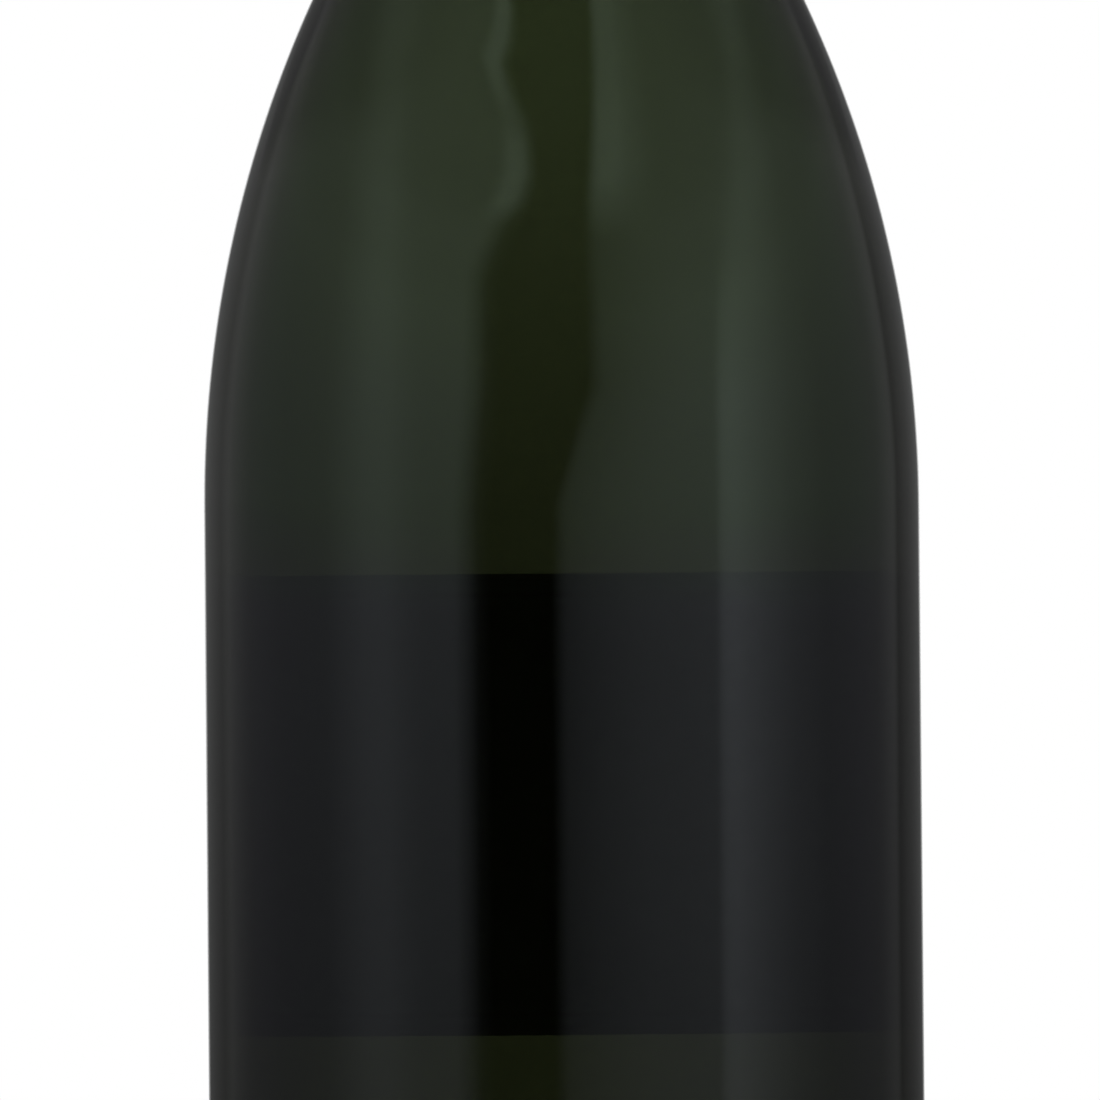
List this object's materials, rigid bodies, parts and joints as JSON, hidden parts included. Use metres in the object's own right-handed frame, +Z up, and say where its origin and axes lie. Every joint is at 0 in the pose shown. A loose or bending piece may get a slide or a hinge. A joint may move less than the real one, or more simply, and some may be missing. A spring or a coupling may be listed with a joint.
{
  "type": "champagne bottle",
  "caption": "Full dark green sparkling-wine bottle with punt, mushroom cork, wire cage, blank plaque, foil and blank label.",
  "frame": {"origin": "centre of the ring that the bottle stands on, at table height", "axes": "+Z up the bottle's axis, -Y towards the viewer and the cage's key, +X to the viewer's right"},
  "size_m": [0.088, 0.0882, 0.3233],
  "materials": {
    "green_glass": "polished",
    "wine": "polished",
    "label_paper": "matte",
    "cork_grain": "matte",
    "cork_disc": "matte",
    "plaque_metal": "satin",
    "wire": "satin",
    "foil": "satin",
    "strip_foil": "satin"
  },
  "bodies": {
    "bottle": {"glass_bottle": "green_glass", "wine": "wine", "back_label": "label_paper", "foil_sleeve": "foil"},
    "tear_strip": {"tear_strip": "strip_foil"},
    "tear_tab": {"tear_tab": "strip_foil"},
    "cork": {"cork_body": "cork_grain", "cork_disc_upper": "cork_disc", "cork_disc_lower": "cork_disc"},
    "cage": {"plaque": "plaque_metal", "cage_wire": "wire", "cage_belt": "wire"},
    "key_root": {"key_root": "wire"},
    "key": {"key_loop": "wire"},
    "foil_cap": {"foil_cap": "foil"}
  },
  "joints": [
    {"name": "strip_pull", "type": "hinge", "parent": "bottle", "child": "tear_strip", "pos_m": [0, 0, 0.26835], "axis": [0, 0, -1], "range_deg": [0, 360], "deforming": ["tear_strip"]},
    {"name": "tab_lift", "type": "hinge", "parent": "tear_strip", "child": "tear_tab", "pos_m": [0.00711, -0.01338, 0.26835], "axis": [0, 0, -1], "range_deg": [0, 100]},
    {"name": "cork_pull", "type": "slide", "parent": "bottle", "child": "cork", "axis": [0, 0, 1], "range_m": [0, 0.03]},
    {"name": "cage_lift", "type": "slide", "parent": "cork", "child": "cage", "axis": [0, 0, 1], "range_m": [0, 0.051], "deforming": ["cage_wire", "cage_belt"]},
    {"name": "foil_lift", "type": "slide", "parent": "cage", "child": "foil_cap", "axis": [0, 0, 1], "range_m": [0, 0.056], "deforming": ["foil_cap"]},
    {"name": "key_twist", "type": "hinge", "parent": "cage", "child": "key_root", "pos_m": [0, -0.01742, 0.28295], "axis": [0, -1, 0], "range_deg": [0, 1080]},
    {"name": "key_fold", "type": "hinge", "parent": "key_root", "child": "key", "pos_m": [0, -0.01742, 0.28295], "axis": [1, 0, 0], "range_deg": [0, 90]}
  ],
  "couplings": [
    {"joint": "key_fold", "follows": "foil_lift", "rad_per_m": 28}
  ]
}
